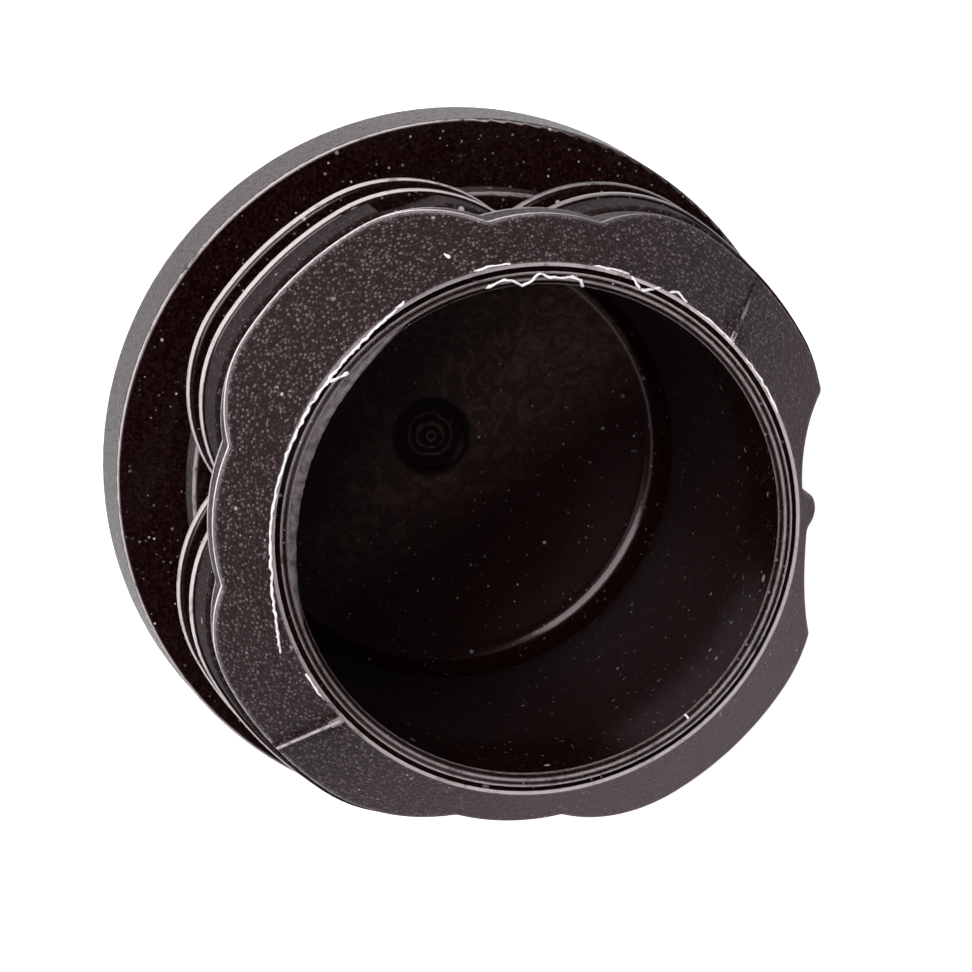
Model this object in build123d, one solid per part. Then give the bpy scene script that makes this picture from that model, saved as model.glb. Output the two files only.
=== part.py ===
from build123d import *
from math import atan2, cos, degrees, radians, sin, sqrt
import os

# Ribbed end cap for a round tube: a moulded plug with a rounded head, thin gripping fins with
# four lobes, and a lead-in cone round the open mouth of its hollow spigot.
# The cap stands on the face of its head with the mouth up. Origin at the centre of that face,
# +Z towards the mouth, millimetres. The mould parts along the diagonal plane through the
# lobes at 45 and 225 degrees.

os.makedirs("parts", exist_ok=True)

# Tube that the cap closes
tube_outer_diameter = 30.0
tube_bore_diameter = 27.0

# Head, flush with the tube's outside
head_height = 5.2
head_edge_radius = 1.95
seat_edge_radius = 0.18

# Spigot
spigot_length = 13.8
fin_press = 0.8             # how far a lobe tip reaches past the tube's bore before it bends
fin_depth = 2.95            # from a lobe tip down to the core

# Bore of the spigot
bore_taper = 0.65           # how much smaller the radius is at the floor than at the mouth
floor_thickness = 1.9
floor_dish = 0.3
floor_fillet = 1.1

# Rim round the mouth
rim_setback = 0.2           # the rim's radius is this much smaller than the core's
rim_face_width = 0.9
rim_rise = 0.25             # the inner edge stands this much above the outer edge
rim_chamfer = 0.3
rim_groove_width = 0.22
rim_groove_depth = 0.3
rim_groove_inset = 0.14

# Outline of the lobes
lobe_count = 4
first_lobe_angle = 45.0
fin_land_half_angle = 12.75
fin_valley_depth = 2.8      # from a lobe tip down to the bottom of the valley beside it
fin_valley_fillet = 0.9
fin_edge_radius = 0.26

# The first valley is relieved: its bottom is filled, then two scallops cut it wider, through
# every lobed layer. Scallop: turn from the valley's middle, depth below a lobe's tip, radius.
relief_fill_depth = 2.0
relief_scallops = (
    (8.0, 2.57, 3.97),
    (-1.0, 2.32, 9.67),
)
relief_corner_radius = 0.35

# Round fin next to the head
round_fin_gap = 1.65
round_fin_thickness = 1.9
round_fin_setback = 1.9

# Thin lobed fin in the middle
lobed_fin_gap = 0.55
lobed_fin_thickness = 0.8

# Flange at the mouth: a thin lobed fin, a wall on it, a narrow groove, then the lip
flange_gap = 2.0
flange_fin_thickness = 0.8
wall_height = 2.15
wall_setback = 0.16
wall_edge_radius = 0.15
mouth_groove_width = 0.25
mouth_groove_depth = 0.5
lip_setback = 0.33
lip_thickness = 0.25
lip_edge_radius = 0.14
lip_corner_radius = 0.35

# Recess in the side of the wall, beside one lobe
pocket_depth = 0.75
pocket_angles = (93.0, 117.5)

# Fillings that make the lip's valleys shallower, one for each valley but the first:
# turn from the valley's middle, depth below the lip's tip, radius of the round filling
lip_fillings = (
    (-1.5, 1.13, 8.0),
    (0.0, 0.87, 9.0),
    (-2.0, 1.25, 8.5),
)

# Small tooth of the lip in the first valley
tooth_depth = 1.82          # from the lip's tip down to the top of the tooth
tooth_radius = 0.8
tooth_turn = 4.0

# Ridges left where the halves of the mould met: direction, height, width
parting_ridges = (
    (225.5, 0.17, 0.3),
    (46.0, 0.07, 0.2),
)

# Gate mark on the bore's floor
gate_diameter = 3.0
gate_depth = 0.4
gate_nub_diameter = 1.1
gate_nub_height = 0.3
gate_offset = 0.95
gate_direction = 135.0

# Places worked out from the sizes above
overlap = 1.0               # how far a cutting or joining body runs past the face it meets
head_radius = tube_outer_diameter / 2
tip_radius = tube_bore_diameter / 2 + fin_press
core_radius = tip_radius - fin_depth
lip_tip_radius = tip_radius - lip_setback
rim_outer_radius = core_radius - rim_setback
mouth_radius = rim_outer_radius - rim_face_width
floor_radius = mouth_radius - bore_taper
rim_height = head_height + spigot_length
round_fin_bottom = head_height + round_fin_gap
lobed_fin_bottom = round_fin_bottom + round_fin_thickness + lobed_fin_gap
flange_bottom = lobed_fin_bottom + lobed_fin_thickness + flange_gap
wall_bottom = flange_bottom + flange_fin_thickness
groove_bottom = wall_bottom + wall_height
lip_bottom = groove_bottom + mouth_groove_width
cone_bottom = lip_bottom + lip_thickness
lobe_step = 360.0 / lobe_count
lobe_angles = [first_lobe_angle + index * lobe_step for index in range(lobe_count)]
valley_angles = [angle - lobe_step / 2 for angle in lobe_angles]

# The round shoulder of a lobe starts at the land's end and comes down to the valley's bottom
valley_radius = tip_radius - fin_valley_depth
shoulder_swing = radians(lobe_step / 2 - fin_land_half_angle)
tip_to_valley = valley_radius**2 + tip_radius**2 - 2 * valley_radius * tip_radius * cos(shoulder_swing)
shoulder_radius = tip_to_valley / (2 * (tip_radius - valley_radius * cos(shoulder_swing)))
shoulder_centre = tip_radius - shoulder_radius


def polar(radius, angle):
    """Point of the XY plane at a radius and an angle in degrees."""
    return (radius * cos(radians(angle)), radius * sin(radians(angle)))


def upright(radius, height):
    """Cylinder that stands on the XY plane."""
    return Cylinder(radius, height, align=(Align.CENTER, Align.CENTER, Align.MIN))


def plate(outline, bottom, thickness):
    """Plate of an outline that starts at a height."""
    return Pos(0, 0, bottom) * extrude(outline, thickness)


def arc_about(centre, radius, start, end):
    """Arc of a given centre between two points that lie on it, by the short way round."""
    start_angle = degrees(atan2(start[1] - centre[1], start[0] - centre[0]))
    end_angle = degrees(atan2(end[1] - centre[1], end[0] - centre[0]))
    turn = (end_angle - start_angle + 180.0) % 360.0 - 180.0
    middle = polar(radius, start_angle + turn / 2)
    return ThreePointArc(start, (centre[0] + middle[0], centre[1] + middle[1]), end)


def round_new_corners(face, before, radius):
    """Rounds the corners that a face has and the face it was made from had not."""
    old = [Vector(v.X, v.Y) for v in before.vertices()]
    corners = []
    for vertex in face.vertices():
        place = Vector(vertex.X, vertex.Y)
        if min((place - other).length for other in old) > lip_edge_radius / 2:
            corners.append(vertex)
    return fillet(corners, radius)


def relieve(lobes, setback):
    """Cuts the first valley of a lobed outline wider, with two scallops."""
    middle = valley_angles[0]
    filling = polar(tip_radius - relief_fill_depth - shoulder_radius, middle)
    face = lobes + Pos(*filling) * Circle(shoulder_radius - setback)
    for turn, depth, radius in relief_scallops:
        centre = polar(tip_radius - depth + radius, middle + turn)
        face -= Pos(*centre) * Circle(radius + setback)
    return round_new_corners(face, lobes, relief_corner_radius)


def lobed_outline(setback):
    """Outline with the lobes: a round land at each tip, round shoulders and deep valleys.

    The setback moves the whole outline inwards.
    """
    tip = tip_radius - setback
    shoulder = shoulder_radius - setback
    across = shoulder_centre * sin(shoulder_swing)
    valley = shoulder_centre * cos(shoulder_swing) + sqrt(shoulder**2 - across**2)
    half_step = lobe_step / 2
    edges = []
    for angle in lobe_angles:
        low = angle - fin_land_half_angle
        high = angle + fin_land_half_angle
        low_valley = polar(valley, angle - half_step)
        high_valley = polar(valley, angle + half_step)
        edges.append(arc_about(polar(shoulder_centre, low), shoulder, low_valley, polar(tip, low)))
        edges.append(ThreePointArc(polar(tip, low), polar(tip, angle), polar(tip, high)))
        edges.append(arc_about(polar(shoulder_centre, high), shoulder, polar(tip, high), high_valley))
    face = make_face(edges)
    corners = [v for v in face.vertices() if Vector(v.X, v.Y).length < (valley + tip) / 2]
    return relieve(fillet(corners, fin_valley_fillet + setback), setback)


def lip_outline():
    """Outline of the lip: the lobes again, with uneven valleys and a tooth in the first one."""
    lobes = lobed_outline(lip_setback)
    face = lobes
    for valley_angle, (turn, depth, radius) in zip(valley_angles[1:], lip_fillings):
        centre = polar(lip_tip_radius - depth - radius, valley_angle + turn)
        face += Pos(*centre) * Circle(radius)
    tooth = polar(lip_tip_radius - tooth_depth - tooth_radius, valley_angles[0] + tooth_turn)
    face += Pos(*tooth) * Rot(0, 0, 180) * Circle(tooth_radius)
    return round_new_corners(face, lobes, lip_corner_radius)


def make_head():
    """Rounded head: flat face down, a convex edge, a short wall and a flat seat."""
    body = upright(head_radius, head_height)
    rims = body.edges().filter_by(GeomType.CIRCLE).sort_by(Axis.Z)
    body = fillet(rims[0], head_edge_radius)
    seat = body.edges().filter_by(GeomType.CIRCLE).sort_by(Axis.Z)[-1]
    return fillet(seat, seat_edge_radius)


def make_core():
    """Solid core of the spigot, from inside the head up into the cone."""
    bottom = head_height / 2
    return Pos(0, 0, bottom) * upright(core_radius, cone_bottom - bottom)


def make_round_fin():
    """Plain round fin, smaller than the lobed ones."""
    fin = upright(tip_radius - round_fin_setback, round_fin_thickness)
    fin = fillet(fin.edges().filter_by(GeomType.CIRCLE), fin_edge_radius)
    return Pos(0, 0, round_fin_bottom) * fin


def make_lobed_fin(bottom, thickness):
    """Thin lobed fin with rounded edges, which bends against the tube's bore."""
    fin = extrude(lobed_outline(0.0), thickness)
    rims = fin.edges().group_by(Axis.Z)
    return Pos(0, 0, bottom) * fillet(rims[0] + rims[-1], fin_edge_radius)


def make_pocket():
    """Ring sector that is cut out of the wall beside one lobe."""
    start, end = pocket_angles
    inner = tip_radius - wall_setback - pocket_depth
    outer = tip_radius + overlap
    middle = (start + end) / 2
    edges = [
        Line(polar(inner, start), polar(outer, start)),
        ThreePointArc(polar(outer, start), polar(outer, middle), polar(outer, end)),
        Line(polar(outer, end), polar(inner, end)),
        ThreePointArc(polar(inner, end), polar(inner, middle), polar(inner, start)),
    ]
    return plate(make_face(edges), wall_bottom, wall_height + overlap)


def make_wall():
    """Lobed wall of the flange, with its rounded upper edge and the pocket."""
    wall = extrude(lobed_outline(wall_setback), wall_height)
    wall = fillet(wall.edges().group_by(Axis.Z)[-1], wall_edge_radius)
    return Pos(0, 0, wall_bottom) * wall - make_pocket()


def make_cone(proud):
    """Lead-in cone from the lip up to the rim, moved outwards along its normal by a height."""
    rise = rim_height - cone_bottom
    run = lip_tip_radius - rim_outer_radius
    slant = sqrt(rise**2 + run**2)
    side = proud * rise / slant
    lift = proud * run / slant
    profile = Polyline(
        (0, lip_bottom),
        (lip_tip_radius + side, lip_bottom),
        (lip_tip_radius + side, cone_bottom + lift),
        (rim_outer_radius + side, rim_height + lift),
        (0, rim_height + lift),
        close=True,
    )
    return revolve(make_face(Plane.XZ * profile), Axis.Z)


def make_lip():
    """Lip and lead-in cone: the lip's outline cut to the cone, with a rounded outer edge."""
    lip = plate(lip_outline(), lip_bottom, rim_height - lip_bottom) & make_cone(0.0)
    edge_low = lip_bottom + lip_thickness / 2
    edge_high = rim_height - lip_thickness
    edge = []
    for candidate in lip.edges():
        box = candidate.bounding_box()
        if box.min.Z > edge_low and box.max.Z < edge_high:
            edge.append(candidate)
    return fillet(edge, lip_edge_radius)


def make_flange():
    """Flange at the mouth, from its thin fin up to the cone."""
    neck_outline = lobed_outline(wall_setback + mouth_groove_depth)
    neck = plate(neck_outline, wall_bottom, wall_height + mouth_groove_width)
    return make_lobed_fin(flange_bottom, flange_fin_thickness) + make_wall() + neck + make_lip()


def make_ridges():
    """Fine ridges along the parting plane, from the rim to the edge of the lip."""
    length = lip_tip_radius - rim_outer_radius
    ridges = []
    for angle, height, width in parting_ridges:
        slab = Box(length, width, spigot_length, align=(Align.MIN, Align.CENTER, Align.MIN))
        slab = Rot(0, 0, angle) * Pos(rim_outer_radius, 0, lip_bottom) * slab
        ridges.append(make_cone(height) & slab)
    return ridges


def make_rim():
    """Ring on top of the cone, whose face rises inwards, with a narrow groove in it."""
    foot = rim_height - rim_groove_depth - overlap
    profile = Polyline(
        (floor_radius, foot),
        (rim_outer_radius, foot),
        (rim_outer_radius, rim_height),
        (mouth_radius, rim_height + rim_rise),
        (floor_radius, rim_height + rim_rise),
        close=True,
    )
    ring = revolve(make_face(Plane.XZ * profile), Axis.Z)
    outer = rim_outer_radius - rim_groove_inset
    groove = Circle(outer) - Circle(outer - rim_groove_width)
    return ring, plate(groove, rim_height - rim_groove_depth, rim_groove_depth + overlap)


def make_bore():
    """Tapered bore with a chamfered mouth, a rounded corner and a dished floor."""
    floor_edge = floor_thickness + floor_dish
    top = rim_height + rim_rise
    profile = Polyline(
        (0, floor_edge),
        (floor_radius, floor_edge),
        (mouth_radius, top - rim_chamfer),
        (mouth_radius + rim_chamfer, top),
        (mouth_radius + rim_chamfer, top + overlap),
        (0, top + overlap),
        close=True,
    )
    face = make_face(Plane.XZ * profile)
    corner = face.vertices().sort_by(lambda v: abs(abs(v.X) - floor_radius) + abs(v.Z - floor_edge))[0]
    bore = revolve(fillet(corner, floor_fillet), Axis.Z)
    flat_radius = floor_radius - floor_fillet
    dish_radius = flat_radius**2 / (2 * floor_dish) + floor_dish / 2
    ball = Pos(0, 0, floor_thickness + dish_radius) * Sphere(dish_radius)
    column = Pos(0, 0, floor_thickness - floor_dish) * upright(flat_radius, 2 * floor_dish + overlap)
    return bore + (ball & column)


def make_gate_mark():
    """Round dimple where the plastic entered the mould, and the broken nub in its middle."""
    place = Pos(*polar(gate_offset, gate_direction), floor_thickness - gate_depth)
    dimple = place * upright(gate_diameter / 2, gate_depth + floor_dish)
    nub = place * upright(gate_nub_diameter / 2, gate_nub_height)
    return dimple, nub


def make_end_cap():
    """The whole cap as one moulded solid."""
    body = make_head() + make_core() + make_round_fin()
    body += make_lobed_fin(lobed_fin_bottom, lobed_fin_thickness)
    body += make_flange()
    for ridge in make_ridges():
        body += ridge
    ring, groove = make_rim()
    dimple, nub = make_gate_mark()
    return body + ring - groove - make_bore() - dimple + nub


end_cap = make_end_cap()
end_cap.label = "end_cap"
export_step(end_cap, "parts/end_cap.step")
print("end_cap", end_cap.bounding_box().size, "volume", round(end_cap.volume, 1))
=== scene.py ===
# %% [markdown]
# # A ribbed end cap for a round tube
# The object is one moulding of black polyethylene: a rounded head, thin gripping fins of which
# two have four lobes, and a hollow spigot with a lead-in cone round its mouth. Its shape comes
# from the CAD model, which is loaded first as a fixed frame. This script adds what a mould and
# a few knocks leave on such a part: the grain of the plastic, the torn flash on the rim, and
# dust.

# %% Load the CAD frame
import math
import random

import bmesh
import bpy
from mathutils import Matrix, Vector


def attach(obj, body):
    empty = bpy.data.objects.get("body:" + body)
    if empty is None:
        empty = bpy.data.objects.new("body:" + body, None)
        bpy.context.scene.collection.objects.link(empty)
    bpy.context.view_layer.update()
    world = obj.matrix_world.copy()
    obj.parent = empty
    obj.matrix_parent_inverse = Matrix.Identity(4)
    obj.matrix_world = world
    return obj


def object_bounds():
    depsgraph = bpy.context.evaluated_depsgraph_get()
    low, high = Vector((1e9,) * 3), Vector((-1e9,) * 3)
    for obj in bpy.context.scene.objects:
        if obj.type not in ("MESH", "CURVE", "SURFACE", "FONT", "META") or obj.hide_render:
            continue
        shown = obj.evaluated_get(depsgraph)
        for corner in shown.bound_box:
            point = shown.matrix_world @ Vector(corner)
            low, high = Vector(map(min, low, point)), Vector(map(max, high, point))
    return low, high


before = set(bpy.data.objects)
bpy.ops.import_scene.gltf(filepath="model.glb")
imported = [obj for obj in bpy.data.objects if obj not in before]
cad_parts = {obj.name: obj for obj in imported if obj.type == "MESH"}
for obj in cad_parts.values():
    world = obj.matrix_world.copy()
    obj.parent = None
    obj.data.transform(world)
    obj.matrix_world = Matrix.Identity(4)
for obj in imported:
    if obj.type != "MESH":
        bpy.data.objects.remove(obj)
cad_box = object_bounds()
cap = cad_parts["end_cap"]
mm = 0.001
print("CAD box in mm:", [[round(value / mm, 2) for value in corner] for corner in cad_box])

# %% [markdown]
# ## Where the camera stands
# The cap stands on its head with the mouth up, and the viewer looks down into it from steeply
# above, a little from one side. A camera could be placed by eye. Here it is placed on a line
# from the cap's middle, given by a compass direction and an angle from the vertical, because
# those two numbers say exactly how the viewer stands.

# %% Camera
view_azimuth = math.radians(141.2)
view_from_vertical = math.radians(17.2)
image_up_angle = math.radians(93.2)
camera_distance = 333 * mm
view_width = 41.0 * mm
sensor_width = 36.0

(x0, y0, z0), (x1, y1, z1) = cad_box
cap_middle = Vector(((x0 + x1) / 2, (y0 + y1) / 2, (z0 + z1) / 2))
to_camera = Vector((
    math.cos(view_azimuth) * math.sin(view_from_vertical),
    math.sin(view_azimuth) * math.sin(view_from_vertical),
    math.cos(view_from_vertical),
))
image_up = Vector((math.cos(image_up_angle), math.sin(image_up_angle), 0.0))
image_right = image_up.cross(to_camera).normalized()
image_up = to_camera.cross(image_right)

camera_data = bpy.data.cameras.new("camera")
camera_data.sensor_width = sensor_width
camera_data.lens = sensor_width * camera_distance / view_width
camera = bpy.data.objects.new("camera", camera_data)
axes = Matrix((image_right, image_up, to_camera)).transposed()
camera_place = Matrix.Translation(cap_middle + to_camera * camera_distance)
camera.matrix_world = camera_place @ axes.to_4x4()
bpy.context.scene.collection.objects.link(camera)
bpy.context.scene.camera = camera
bpy.context.scene.view_settings.view_transform = "Standard"
print("camera at", [round(value / mm, 1) for value in camera.matrix_world.translation], "mm")

# %% [markdown]
# ## Helpers for node trees
# A material in Blender is a graph of nodes. Each link can be written by hand, but that takes
# many lines. So one small helper adds a node and fills its sockets, and the others do the
# arithmetic that comes back in every material: masks are multiplied, joined and weighted.


# %% Node helpers
def add_node(tree, kind, settings=None, **inputs):
    """Adds a node, sets its properties, and fills its input sockets with values or links."""
    node = tree.nodes.new(kind)
    for name, value in (settings or {}).items():
        setattr(node, name, value)
    for name, value in inputs.items():
        key = int(name[1:]) if name[0] == "i" and name[1:].isdigit() else name.replace("_", " ")
        if isinstance(value, bpy.types.NodeSocket):
            tree.links.new(value, node.inputs[key])
        else:
            node.inputs[key].default_value = value
    return node


def sums(tree, operation, *values):
    """One step of arithmetic on sockets or numbers."""
    inputs = {f"i{index}": value for index, value in enumerate(values)}
    return add_node(tree, "ShaderNodeMath", {"operation": operation}, **inputs).outputs[0]


def product(tree, first, *others):
    """All values multiplied, so that something is left only where every mask is 1."""
    for other in others:
        first = sums(tree, "MULTIPLY", first, other)
    return first


def largest(tree, first, *others):
    """The largest of the values, which joins masks."""
    for other in others:
        first = sums(tree, "MAXIMUM", first, other)
    return first


def add_up(tree, start, *parts):
    """The start, plus for each part of (mask, amount) the amount where the mask is 1."""
    for mask, amount in parts:
        start = sums(tree, "MULTIPLY_ADD", mask, amount, start)
    return start


def ramp_between(tree, value, low, high):
    """0 below low and 1 above high, with a soft step between. low may be above high."""
    settings = {"interpolation_type": "SMOOTHSTEP"}
    inputs = {"Value": value, "From_Min": low, "From_Max": high}
    return add_node(tree, "ShaderNodeMapRange", settings, **inputs).outputs[0]


def new_material(name):
    """A material with an empty node tree, and that tree."""
    material = bpy.data.materials.new(name)
    material.use_nodes = True
    material.node_tree.nodes.clear()
    return material, material.node_tree


def place_in_mm(tree):
    """The place on the piece, in millimetres from the origin."""
    place = add_node(tree, "ShaderNodeTexCoord").outputs["Object"]
    return add_node(tree, "ShaderNodeMapping", Vector=place, Scale=(1 / mm,) * 3).outputs[0]


print("node helpers ready")

# %% [markdown]
# ## The plastic
# Black polyethylene from a mould has two skins. Where the steel was spark-eroded, on the head's
# outside and on the cone, the part is covered in fine round grains that scatter light and look
# grey. Where the steel was turned or ground, between the fins, on the seat and in the bore, the
# skin is smooth and stays black. One material can hold both, because it can read its place on
# the object in millimetres and ask how high and how far from the axis it is.

# %% Where the grain is
plastic, tree = new_material("black_polyethylene_skin")
place = place_in_mm(tree)
flat_place = add_node(tree, "ShaderNodeVectorMath", {"operation": "MULTIPLY"}, i0=place,
                      i1=(1, 1, 0)).outputs[0]
radius = add_node(tree, "ShaderNodeVectorMath", {"operation": "LENGTH"},
                  i0=flat_place).outputs["Value"]
height = add_node(tree, "ShaderNodeSeparateXYZ", Vector=place).outputs["Z"]

# Each soft step is given by the places where its mask is 0 and where it is 1, in millimetres
below_seat = (5.10, 5.02)
outside_bore = (10.9, 11.0)
below_floor = (1.2, 1.0)
above_lip = (15.48, 15.58)
outside_rim = (11.10, 11.18)

not_in_bore = largest(tree, ramp_between(tree, radius, *outside_bore),
                      ramp_between(tree, height, *below_floor))
on_head = product(tree, ramp_between(tree, height, *below_seat), not_in_bore)
on_cone = product(tree, ramp_between(tree, height, *above_lip),
                  ramp_between(tree, radius, *outside_rim))
print("grained skin: head below", below_seat[0], "mm, cone above", above_lip[0], "mm")

# %% [markdown]
# ### Lip and rim edges: wear and painted highlight
# Soft plastic goes white where it is rubbed, and that is along its edges. The white here is also
# a painted highlight: it stands for the lamp's light caught on the edges. A Bevel node finds
# edges, but inner corners too. The Ambient Occlusion node can be turned to look into the
# plastic: under a flat skin its rays meet nothing near, and beside an outer edge they soon meet
# the skin round the corner. So it finds the outer edges alone. Two lines are wider than what it
# finds, and get a band of their own: the lip's side, just below the surface that the cone would
# have there, and the rim's outer edge.

# %% Lip and rim edges: wear and painted highlight
cone_slope = 1.2234
cone_foot_radius = 13.97
cone_foot_height = 15.55
cone_height_at_axis = cone_foot_height + cone_foot_radius * cone_slope
edge_softness = 0.03
fine_softness = 0.02
lip_reach = 0.30 * mm
less_reach_on_rim = 0.16 * mm
outer_line_strength = 0.8


def band(value, low, high, soft=edge_softness):
    """1 between low and high and 0 outside, with soft steps."""
    rises = ramp_between(tree, value, low - soft, low + soft)
    falls = ramp_between(tree, value, high + soft, high - soft)
    return product(tree, rises, falls)


def distance_toward(tree, start, direction):
    """How far a start vector reaches in a direction."""
    return add_node(tree, "ShaderNodeVectorMath", {"operation": "DOT_PRODUCT"}, i0=start,
                    i1=direction).outputs["Value"]


def along(degrees):
    """How far a place lies in a compass direction from the axis, in millimetres."""
    turn = math.radians(degrees)
    return distance_toward(tree, flat_place, (math.cos(turn), math.sin(turn), 0))


def stripe(across, half_width, soft=fine_softness):
    """1 on a straight stripe through the axis, which the compass direction across crosses."""
    return band(along(across), -half_width, half_width, soft)


on_rim = ramp_between(tree, height, 18.60, 18.65)
reach = add_up(tree, lip_reach, (on_rim, -less_reach_on_rim))
inside = add_node(tree, "ShaderNodeAmbientOcclusion",
                  {"inside": True, "only_local": True, "samples": 3},
                  Distance=reach).outputs["AO"]

cone_height = sums(tree, "MULTIPLY_ADD", radius, -cone_slope, cone_height_at_axis)
lip_side = band(sums(tree, "SUBTRACT", cone_height, height), 0.04, 0.24, fine_softness)
off_ridges = sums(tree, "SUBTRACT", 1.0, stripe(135.75, 0.30, edge_softness))
on_lip = product(tree, band(height, 15.36, 18.55), off_ridges)
# The lip's white line is painted highlight as well as wear.
lip_edge = largest(tree, ramp_between(tree, inside, 1.0, 0.88), lip_side)
lip_edge = product(tree, lip_edge, on_lip)

# The rim's white edge is painted highlight as well as wear.
outer_line = product(tree, band(radius, 11.08, 11.14, fine_softness), outer_line_strength)
rim_edge = largest(tree, ramp_between(tree, inside, 0.86, 0.62), outer_line)
rim_edge = product(tree, rim_edge, on_rim)
print("worn lip and rim: the inward rays reach", round(lip_reach / mm, 2), "mm from the lip and",
      round((lip_reach - less_reach_on_rim) / mm, 2), "mm from the rim")

# %% [markdown]
# ### Fin, seat and ridge edges: wear and painted highlight
# The fins' edges are rounded too gently for the Ambient Occlusion node, but their heights are
# known, and a narrow band at each height is exact. Their white is wear and a painted highlight:
# the lip, fin and seat bands are brightest on the side of the left lamp and fade away from it,
# and the rim's band is weaker there. The two parting ridges are straight lines that run out
# along the cone, so a thin stripe through the axis finds each of them.

# %% Fin, seat and ridge edges: wear and painted highlight
lobed_fin_edge = (9.60, 10.0)
flange_edge = (12.40, 12.80)
round_fin_edge = (8.45, 8.70)
round_fin_side = (6.95, 8.45)
seat_edge_heights = (5.08, 5.165)
round_fin_strength = 0.5
round_fin_side_strength = 0.3
faint_ridge_strength = 0.35

fin_edge = largest(tree, band(height, *lobed_fin_edge), band(height, *flange_edge))
fin_edge = product(tree, fin_edge, ramp_between(tree, radius, 11.5, 11.6))
round_fin = largest(tree, band(height, *round_fin_edge, 0.04),
                    product(tree, band(height, *round_fin_side, 0.05), round_fin_side_strength))
round_fin = product(tree, round_fin, ramp_between(tree, radius, 12.2, 12.3))
fin_edge = add_up(tree, fin_edge, (round_fin, round_fin_strength))
seat_edge = product(tree, band(height, *seat_edge_heights),
                    ramp_between(tree, radius, 14.5, 14.6))

# Painted highlight: the edge bands are strongest on the side that faces the left lamp.
left_lamp_side = ramp_between(tree, along(165), -2.0, 8.0)
mostly_left_lamp_side = add_up(tree, 0.2, (left_lamp_side, 0.8))
low_edges = largest(tree, product(tree, fin_edge, mostly_left_lamp_side), product(tree, seat_edge, left_lamp_side))
lip_edge = product(tree, lip_edge, mostly_left_lamp_side)
rim_edge = product(tree, rim_edge, add_up(tree, 1.0, (left_lamp_side, -0.5)))

clear_ridge = product(tree, stripe(135.5, 0.065), ramp_between(tree, along(225.5), 11.2, 11.3))
faint_ridge = product(tree, stripe(136, 0.07), band(along(46), 12.15, 13.0, 0.08))
faint_ridge = product(tree, faint_ridge, faint_ridge_strength)
ridges = product(tree, largest(tree, clear_ridge, faint_ridge), on_cone)


def noise(tree, place, scale, detail, roughness, distortion=0.0):
    """Cloudy noise from 0 to 1, with about as many patches to a millimetre as its scale."""
    return add_node(tree, "ShaderNodeTexNoise", Vector=place, Scale=scale, Detail=detail,
                    Roughness=roughness, Distortion=distortion).outputs["Fac"]


patchy = ramp_between(tree, noise(tree, place, 0.9, 5.0, 0.8), 0.26, 0.50)
# The white edges are wear and painted highlight together.
wear_and_highlight = product(tree, largest(tree, low_edges, rim_edge, ridges), patchy)
print("worn edges: lip, rim, seat, fins and the two parting ridges")

# %% [markdown]
# ### Grain
# The spark-eroded skin is a heap of small round bumps, about a sixth of a millimetre across.
# Noise gives bumps without edges; two sizes of it, one on the other, keep them from looking
# regular. The bumps' tops are rubbed grey, and are small and sharp, which noise can't give. So
# they are drawn apart, as one dot in each cell of a Voronoi texture, some bright and most dull.

# %% Grain
bump_depth = 0.10 * mm
coarse_share = 0.08

fine = noise(tree, place, 7.0, 2.0, 0.5)
coarse = noise(tree, place, 1.1, 3.0, 0.6)
on_wall = product(tree, band(height, 12.95, 15.10), ramp_between(tree, radius, 12.0, 12.1))
grain_depth = add_up(tree, 0.0, (on_head, 0.7), (on_cone, 0.5), (on_wall, 0.4))
skin_height = product(tree, ramp_between(tree, fine, 0.50, 0.68), grain_depth)
skin_height = add_up(tree, skin_height, (coarse, coarse_share))
bump = add_node(tree, "ShaderNodeBump", Strength=1.0, Distance=bump_depth,
                Height=skin_height).outputs["Normal"]


def scatter(scale):
    """Points scattered one to a cell: the distance to the nearest, and its random channels."""
    cells = add_node(tree, "ShaderNodeTexVoronoi", {"feature": "F1"}, Vector=place, Scale=scale)
    chance = add_node(tree, "ShaderNodeSeparateColor", Color=cells.outputs["Color"])
    return cells.outputs["Distance"], chance.outputs


dot_distance, dot_chance = scatter(6.2)
dots = product(tree, ramp_between(tree, dot_distance, 0.55, 0.20),
               sums(tree, "POWER", dot_chance["Red"], 1.3))
print("grain: bumps", round(bump_depth / mm, 2), "mm deep at most")

# %% [markdown]
# ### Dust
# White specks of dust and torn plastic lie on every skin, most of them tiny. Each could be a
# small piece, but there are hundreds, and none stands up enough to be seen from the side. So
# they are colour only: one point to a Voronoi cell, with a size drawn at random. The bore is
# sheltered, so its specks are fainter, and none is large.


# %% Dust
def specks(scale, widest):
    """Specks scattered at random: most are tiny, and few are as wide as the widest, in mm."""
    distance, chance = scatter(scale)
    size = product(tree, sums(tree, "POWER", chance["Red"], 2.0), widest / 2 * scale)
    spot = ramp_between(tree, distance, size, product(tree, size, 0.5))
    return product(tree, spot, chance["Green"])


in_bore = product(tree, ramp_between(tree, radius, 10.2, 10.0),
                  ramp_between(tree, height, 1.0, 1.2))
finest = product(tree, specks(3.6, 0.17), 0.35)
dust = largest(tree, specks(1.3, 0.26), specks(2.3, 0.14), finest)
dust = product(tree, dust, add_up(tree, 1.0, (in_bore, -0.6)))
large_specks = product(tree, specks(0.7, 0.42), sums(tree, "SUBTRACT", 1.0, in_bore))
speck = largest(tree, dust, large_specks)
print("dust: specks in 4 sizes, the widest 0.42 mm")

# %% [markdown]
# ### Flow marks and a painted reflection on the bore's floor
# The plastic entered through a gate beside the floor's middle. Where it spread out it left
# paler streaks, and small rings close to the gate. Both could be painted by hand. Distorted
# noise gives such streaks at once, and the rings are a sine of the distance from the gate, made
# uneven by the coarse noise. The streaks are made paler on one side of the floor, and that is a
# painted reflection.

# %% Flow marks and painted reflection
gate_place = (-0.67, 0.67, 0)
ring_spacing = 0.36

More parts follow.
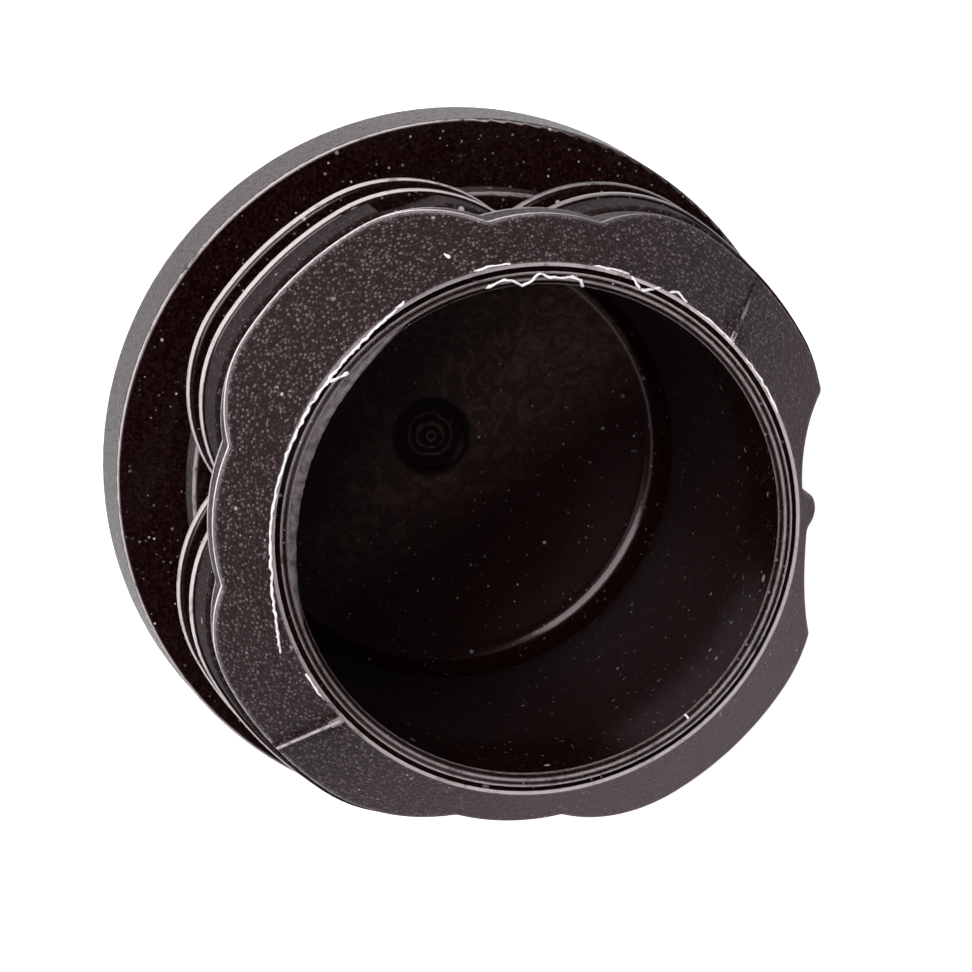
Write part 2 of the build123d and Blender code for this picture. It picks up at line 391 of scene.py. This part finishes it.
from_gate = add_node(tree, "ShaderNodeVectorMath", {"operation": "DISTANCE"}, i0=flat_place,
                     i1=gate_place).outputs["Value"]
on_floor = product(tree, in_bore, ramp_between(tree, height, 2.45, 2.35))
# Painted reflection: the streaks are made paler towards one side of the floor.
reflection_side = distance_toward(tree, flat_place, (-0.60, 0.80, 0))
flow = ramp_between(tree, noise(tree, place, 0.8, 7.0, 0.72, distortion=2.2), 0.42, 0.66)
flow = product(tree, add_up(tree, 0.4, (flow, 0.6)), ramp_between(tree, reflection_side, -4.0, 3.0),
               ramp_between(tree, from_gate, 1.6, 1.85))
uneven = add_up(tree, from_gate, (coarse, 0.5))
ripple = sums(tree, "SINE", product(tree, uneven, 2 * math.pi / ring_spacing))
ripple = product(tree, ramp_between(tree, ripple, 0.0, 1.6),
                 ramp_between(tree, from_gate, 1.3, 0.7))
streaks = product(tree, largest(tree, flow, ripple), on_floor)
print("flow marks: rings", ring_spacing, "mm apart round the gate, streaks beyond them")

# %% [markdown]
# ### Colour and gloss
# Black plastic isn't one black. The smooth skin is nearly pure black with a warm mottle, and the
# head is greyer. The side of the cone that faces the right lamp is greyer too, which is painted
# light. The edges are almost white, from wear and painted highlight, and what is torn is almost
# white. The colours are laid one over the other like coats of paint, each through its own mask,
# because then the wear, the painted highlight and the dust can lie on top of every skin. The
# roughness is added up from masks of place alone.

# %% Colour and gloss
smooth_black = (0.0050, 0.0009, 0.0007, 1)
mottled_black = (0.0120, 0.0050, 0.0046, 1)
cone_black = (0.0070, 0.0008, 0.0006, 1)
# Grey of the head's grain, and painted light on the cone's right side.
grain_and_lit_side_grey = (0.0500, 0.0215, 0.0310, 1)
# Paler flow streaks, and painted reflection on one side of the floor.
flow_and_reflection_grey = (0.095, 0.054, 0.050, 1)
dot_grey = (0.170, 0.122, 0.130, 1)
# The next two whites colour the edges with wear and painted highlight together.
rubbed_and_highlight_white = (0.58, 0.51, 0.52, 1)
lip_white = (0.98, 0.88, 0.90, 1)
dust_white = (0.50, 0.45, 0.45, 1)


def mix_colour(tree, amount, low, high):
    """Colour between two others."""
    return add_node(tree, "ShaderNodeMix", {"data_type": "RGBA"}, i0=amount, i6=low,
                    i7=high).outputs[2]


# Painted light: the side of the cone that faces the right lamp is made greyer and gets fewer
# dots.
right_lamp_side = product(tree, ramp_between(tree, along(-40), 0.0, 10.0), on_cone)
dotted = add_up(tree, on_cone, (on_wall, 0.4), (on_head, 0.25), (right_lamp_side, -0.6))
mottled = product(tree, ramp_between(tree, fine, 0.40, 0.66),
                  add_up(tree, 1.0, (in_bore, -0.7)))
bore_wall = product(tree, in_bore, ramp_between(tree, height, 3.2, 3.6))

coats = [
    (mottled, mottled_black),
    (product(tree, on_cone, 0.8), cone_black),
    (add_up(tree, right_lamp_side, (on_head, 0.35)), grain_and_lit_side_grey),
    (streaks, flow_and_reflection_grey),
    (product(tree, dots, dotted), dot_grey),
    # Edges: wear and painted highlight.
    (wear_and_highlight, rubbed_and_highlight_white),
    (lip_edge, lip_white),
    (speck, dust_white),
]
colour = smooth_black
for mask, coat in coats:
    colour = mix_colour(tree, mask, colour, coat)
roughness = add_up(tree, 0.16, (on_cone, 0.34), (on_wall, 0.70), (on_head, 0.14),
                   (bore_wall, 0.42))

shader = add_node(tree, "ShaderNodeBsdfPrincipled", Base_Color=colour, Roughness=roughness,
                  Normal=bump, IOR=1.5, Specular_IOR_Level=0.28,
                  Specular_Tint=(1.0, 0.84, 0.86, 1))
add_node(tree, "ShaderNodeOutputMaterial", Surface=shader.outputs[0])
for slot in cap.material_slots:
    slot.material = plastic
print("plastic skin of", len(coats), "coats on", cap.name)

# %% [markdown]
# ## Torn flash on the rim
# Where the core of the mould met its ring, a skin of plastic thinner than paper squeezed out.
# It tore when the cap was pushed off the core, and it left white threads and curls on the rim's
# edges. They could be painted on, but they stand up and catch the light, so each is a real
# thread. A small ring is extruded from point to point, turned into each bend, and made thicker
# in some places than in others.

# %% Torn plastic
torn, tree = new_material("torn_white_plastic")
stretch = noise(tree, place_in_mm(tree), 3.0, 3.0, 0.7)
white = mix_colour(tree, ramp_between(tree, stretch, 0.28, 0.44), (0.20, 0.17, 0.175, 1),
                   (0.92, 0.87, 0.88, 1))
shader = add_node(tree, "ShaderNodeBsdfPrincipled", Base_Color=white, Roughness=0.45)
add_node(tree, "ShaderNodeOutputMaterial", Surface=shader.outputs[0])
print("material", torn.name)


# %% A thread of flash
thread_sides = 6
thread_end = 0.2
thread_thinnest, thread_thickest = 0.6, 1.4


def compass_point(angle, radius, height):
    """Point at a compass angle in degrees, a radius and a height in millimetres."""
    turn = math.radians(angle)
    return Vector((radius * math.cos(turn), radius * math.sin(turn), height)) * mm


def flash_thread(name, stations, thickness, ragged=0.02, steps=3):
    """Thread through stations of (angle, radius, height), made uneven between them."""
    dice = random.Random(name)
    places = []
    for start, end in zip(stations, stations[1:]):
        for step in range(steps):
            part = step / steps
            angle, radius, height = (a + (b - a) * part for a, b in zip(start, end))
            height += dice.uniform(-ragged, ragged)
            places.append(compass_point(angle, radius + dice.uniform(-ragged, ragged), height))
    places.append(compass_point(*stations[-1]))

    ring = bmesh.new()
    bmesh.ops.create_circle(ring, segments=thread_sides, radius=thickness / 2 * mm,
                            cap_ends=True)
    ahead = (places[1] - places[0]).normalized()
    turn = Vector((0, 0, 1)).rotation_difference(ahead).to_matrix()
    bmesh.ops.rotate(ring, verts=ring.verts[:], matrix=turn)
    bmesh.ops.translate(ring, verts=ring.verts[:], vec=places[0])
    face = ring.faces[:]
    size = 1.0
    last = len(places) - 1
    for index in range(1, len(places)):
        passed = face
        grown = bmesh.ops.extrude_face_region(ring, geom=passed)
        face = [item for item in grown["geom"] if isinstance(item, bmesh.types.BMFace)]
        verts = [item for item in grown["geom"] if isinstance(item, bmesh.types.BMVert)]
        # The first ring closes the thread's start, and every later one would be a wall inside
        if index > 1:
            bmesh.ops.delete(ring, geom=passed, context="FACES_ONLY")
        bmesh.ops.translate(ring, verts=verts, vec=places[index] - places[index - 1])
        following = (places[min(index + 1, last)] - places[index - 1]).normalized()
        bend = ahead.rotation_difference(following).to_matrix()
        ahead = following
        bmesh.ops.rotate(ring, verts=verts, cent=places[index], matrix=bend)
        wanted = thread_end if index == last else dice.uniform(thread_thinnest, thread_thickest)
        bmesh.ops.scale(ring, verts=verts, vec=(wanted / size,) * 3,
                        space=Matrix.Translation(-places[index]))
        size = wanted
    bmesh.ops.recalc_face_normals(ring, faces=ring.faces[:])
    mesh = bpy.data.meshes.new(name)
    ring.to_mesh(mesh)
    ring.free()
    mesh.polygons.foreach_set("use_smooth", [True] * len(mesh.polygons))
    mesh.materials.append(torn)
    thread = bpy.data.objects.new(name, mesh)
    bpy.context.scene.collection.objects.link(thread)
    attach(thread, "root")
    return thread


print("a thread has", thread_sides, "sides")

# %% [markdown]
# ### Where the threads lie
# The threads lie on the skin of the rim, so only their compass angle and radius are given, and
# a small function works out the height. Each could be drawn as a curve in space, but then its
# height would have to be found by trying. The long tear follows the rim's outer edge on one
# side and ends on the cone, short fringes lie along that edge elsewhere, and a curl and a flake
# cross the rim's face.

# %% Threads of flash
mouth_radius, mouth_height = 10.25, 18.95
chamfer_radius = 10.485
rim_radius, rim_outer_height = 11.15, 19.0
rim_slope = 0.2778
highest = 19.17
lie_above = 0.03


def skin(radius):
    """Height of the skin at a radius, on the mouth's chamfer, the rim's face or the cone."""
    if radius < chamfer_radius:
        return mouth_height + (radius - mouth_radius)
    if radius < rim_radius:
        return rim_outer_height + (rim_radius - radius) * rim_slope
    return cone_foot_height + (cone_foot_radius - radius) * cone_slope


def on_skin(stations, lift=lie_above):
    """Adds to each (angle, radius) the height of the skin and a little more."""
    return [(angle, radius, min(skin(radius) + lift, highest)) for angle, radius in stations]


curl = [(82.5, 10.24), (83.5, 10.50), (85.5, 10.62), (88, 10.55), (90.5, 10.55), (93, 10.72),
        (95, 10.40), (96.8, 10.22), (98.8, 10.50), (101, 10.60), (103, 10.52), (105.5, 10.42)]
spike = [(65.5, 11.16), (67, 11.02), (68.8, 10.80), (69.8, 10.78), (71, 10.95), (72.5, 11.16)]
hook = [(59, 11.18), (61.5, 11.34), (63.5, 11.16)]
tear = [(123, 11.20), (127, 11.08), (133, 10.98), (140, 10.96), (146, 10.98), (153, 11.02),
        (160, 11.06), (168, 11.10), (176, 11.16), (184, 11.17), (190, 11.20), (196, 11.30),
        (201, 11.42), (204, 11.52), (207.5, 11.70)]
flake = [(142.0, 10.55), (144.2, 10.72), (146.2, 10.90)]
cone_flake = [(110.2, 11.84), (111.0, 12.06)]
tick = [(311, 10.25), (311.2, 10.35), (311, 10.44)]
flash_thread("flash_curl_mouth", on_skin(curl), 0.125)
flash_thread("flash_spike", on_skin(spike), 0.125)
flash_thread("flash_hook", on_skin(hook), 0.11)
flash_thread("flash_long_tear", on_skin(tear), 0.115, ragged=0.035, steps=8)

# Each fringe has a first and a last compass angle and a radius, and a station at each degree
fringes = {
    "a": (27, 41, 11.13),
    "b": (45, 56, 11.14),
    "c": (73, 81, 11.17),
    "d": (99, 107, 11.20),
    "e": (213, 220, 11.19),
}
for letter, (start, end, edge_radius) in fringes.items():
    line = [(angle, edge_radius) for angle in range(start, end + 1)]
    flash_thread("flash_fringe_" + letter, on_skin(line, 0.0), 0.09, ragged=0.035, steps=1)
flash_thread("flash_flake_rim", on_skin(flake), 0.15)
flash_thread("flash_flake_cone", on_skin(cone_flake), 0.14)
flash_thread("flash_tick_mouth", on_skin(tick), 0.10)

# %% [markdown]
# ## A folded skin over the mouth
# On one side the flash didn't tear off: it folded inwards and lies over the mouth's edge as a
# thin grey skin with an uneven hem. It could be a row of threads, but it is one sheet. So a
# flat grid is bent round the mouth, narrow at both ends, and then gets a thickness.

# %% Folded skin
fold_start, fold_sweep = 124, 82
fold_radius = 10.46
fold_droop = 0.16
fold_ragged = 0.02
fold_thickness = 0.035 * mm
hem = [(124, 10.44), (129, 10.24), (137, 10.08), (146, 10.02), (160, 10.01), (176, 10.03),
       (187, 10.12), (197, 10.26), (206, 10.43)]


def hem_radius(angle):
    """Radius of the free hem at a compass angle."""
    for (a0, r0), (a1, r1) in zip(hem, hem[1:]):
        if angle <= a1:
            return r0 + (r1 - r0) * (angle - a0) / (a1 - a0)
    return hem[-1][1]


skin_bmesh = bmesh.new()
bmesh.ops.create_grid(skin_bmesh, x_segments=fold_sweep, y_segments=4, size=1)
dice = random.Random("folded skin")
notch = {}
for vert in skin_bmesh.verts:
    angle = fold_start + fold_sweep * (vert.co.x + 1) / 2
    across = (vert.co.y + 1) / 2
    notch.setdefault(round(angle, 2), dice.uniform(-fold_ragged, fold_ragged))
    free = hem_radius(angle) + notch[round(angle, 2)]
    radius_here = fold_radius + (free - fold_radius) * across
    vert.co = compass_point(angle, radius_here, highest - fold_droop * across ** 2)
bmesh.ops.recalc_face_normals(skin_bmesh, faces=skin_bmesh.faces[:])
bmesh.ops.solidify(skin_bmesh, geom=skin_bmesh.faces[:], thickness=fold_thickness)
bmesh.ops.recalc_face_normals(skin_bmesh, faces=skin_bmesh.faces[:])
skin_mesh = bpy.data.meshes.new("folded_skin")
skin_bmesh.to_mesh(skin_mesh)
skin_bmesh.free()

folded, tree = new_material("folded_grey_skin")
pull = noise(tree, place_in_mm(tree), 2.2, 4.0, 0.7)
grey = mix_colour(tree, ramp_between(tree, pull, 0.35, 0.65), (0.045, 0.033, 0.035, 1),
                  (0.150, 0.125, 0.130, 1))
shader = add_node(tree, "ShaderNodeBsdfPrincipled", Base_Color=grey, Roughness=0.4)
add_node(tree, "ShaderNodeOutputMaterial", Surface=shader.outputs[0])
skin_mesh.materials.append(folded)
folded_skin = bpy.data.objects.new("flash_folded_skin", skin_mesh)
bpy.context.scene.collection.objects.link(folded_skin)
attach(folded_skin, "root")
print("folded skin:", len(skin_mesh.polygons), "faces")

# %% [markdown]
# ## Floor
# The cap stands on white paper. A plain white floor would need a lot of light to look white,
# and that light would wash out the black plastic. So the floor shines a little by itself, but
# only for the camera and for reflections, and it still takes the cap's shadow. It lies a hair
# below the cap and is clear from below, so that the cap's outer face can be looked at.

# %% Floor
floor_half_width = 1.5
floor_gap = 0.02 * mm
camera_glow, mirror_glow = 0.80, 0.15

floor_bmesh = bmesh.new()
bmesh.ops.create_grid(floor_bmesh, x_segments=1, y_segments=1, size=floor_half_width)
bmesh.ops.translate(floor_bmesh, verts=floor_bmesh.verts[:], vec=(0, 0, -floor_gap))
floor_mesh = bpy.data.meshes.new("floor")
floor_bmesh.to_mesh(floor_mesh)
floor_bmesh.free()
floor = bpy.data.objects.new("floor", floor_mesh)
bpy.context.scene.collection.objects.link(floor)

paper, tree = new_material("white_paper")
lit = add_node(tree, "ShaderNodeBsdfDiffuse", Color=(0.86, 0.86, 0.86, 1)).outputs[0]
path = add_node(tree, "ShaderNodeLightPath").outputs
seen = add_up(tree, 0.0, (path["Is Camera Ray"], camera_glow),
              (path["Is Glossy Ray"], mirror_glow))
glow = add_node(tree, "ShaderNodeEmission", Color=(1, 1, 1, 1), Strength=seen).outputs[0]
white_top = add_node(tree, "ShaderNodeAddShader", i0=lit, i1=glow).outputs[0]
below = add_node(tree, "ShaderNodeNewGeometry").outputs["Backfacing"]
clear = add_node(tree, "ShaderNodeBsdfTransparent", Color=(1, 1, 1, 1)).outputs[0]
surface = add_node(tree, "ShaderNodeMixShader", i0=below, i1=white_top, i2=clear).outputs[0]
add_node(tree, "ShaderNodeOutputMaterial", Surface=surface)
floor_mesh.materials.append(paper)
print("floor", round(floor.dimensions.x, 2), "m wide")

# %% [markdown]
# ## World
# A black part on white paper is lit from all round and from low down: surfaces that face up
# stay black, and every edge that turns outwards draws a bright line. An even grey world would
# light the top as well. So this one is bright at the horizon and below, and fades to dark 30
# degrees up, with one narrow strip on one side, about 50 degrees up. To the camera it is plain
# white, and the light that it sends has a touch of rose.

# %% World
ring_strength, base_strength, strip_strength = 0.19, 0.06, 1.6
rose_white = (1.0, 0.92, 0.95, 1)

world = bpy.data.worlds.new("studio")
bpy.context.scene.world = world
world.use_nodes = True
tree = world.node_tree
tree.nodes.clear()
direction = add_node(tree, "ShaderNodeTexCoord").outputs["Generated"]
up = add_node(tree, "ShaderNodeSeparateXYZ", Vector=direction).outputs["Z"]
brighter_side = distance_toward(tree, direction, (0.15, -0.40, 0))
ring = product(tree, ramp_between(tree, up, 0.50, 0.12), ring_strength)
strength = add_up(tree, base_strength, (sums(tree, "ADD", brighter_side, 1.0), ring))
strip_side = distance_toward(tree, direction, (-0.95, -0.30, 0))
strip = product(tree, ramp_between(tree, up, 0.68, 0.74), ramp_between(tree, up, 0.82, 0.77),
                ramp_between(tree, strip_side, -0.35, 0.10))
strength = add_up(tree, strength, (strip, strip_strength))
seen = add_node(tree, "ShaderNodeLightPath").outputs["Is Camera Ray"]
strength = largest(tree, strength, seen)
tint = mix_colour(tree, seen, rose_white, (1, 1, 1, 1))
glow = add_node(tree, "ShaderNodeBackground", Color=tint, Strength=strength).outputs[0]
add_node(tree, "ShaderNodeOutputWorld", Surface=glow)
print("world: ring", ring_strength, "and base", base_strength)

# %% [markdown]
# ## Lamps
# The world alone gives soft, flat light. So one wide lamp stands at the left, on the viewer's
# side, a smaller one stands opposite, and a faint one nearly overhead. Spot lamps would draw
# hard shadows. Each lamp is a square panel that faces the cap, and its shadow has a soft edge.

# %% Lamps
lamp_distance = 0.6


def add_lamp(name, azimuth, elevation, width, power):
    """A square lamp at a compass direction and height in degrees, turned to face the cap."""
    data = bpy.data.lights.new(name, "AREA")
    data.shape = "RECTANGLE"
    data.size = width
    data.size_y = width
    data.energy = power
    lamp = bpy.data.objects.new(name, data)
    turn, rise = math.radians(azimuth), math.radians(elevation)
    towards = Vector((math.cos(turn) * math.cos(rise), math.sin(turn) * math.cos(rise),
                      math.sin(rise)))
    lamp.location = cap_middle + towards * lamp_distance
    lamp.rotation_euler = towards.to_track_quat("Z", "Y").to_euler()
    bpy.context.scene.collection.objects.link(lamp)
    print(name, "radiance", round(power / (math.pi * width ** 2), 1))


add_lamp("left_lamp", 141, 50, width=0.40, power=4.4)
add_lamp("right_lamp", -45, 24, width=0.22, power=1.0)
add_lamp("top_lamp", 180, 76, width=0.14, power=0.07)

# %% [markdown]
# ## Finish
# Every new piece rides on the only body. The CAD box's size is printed where the frame is
# loaded.

# %% Finish
print("finished")
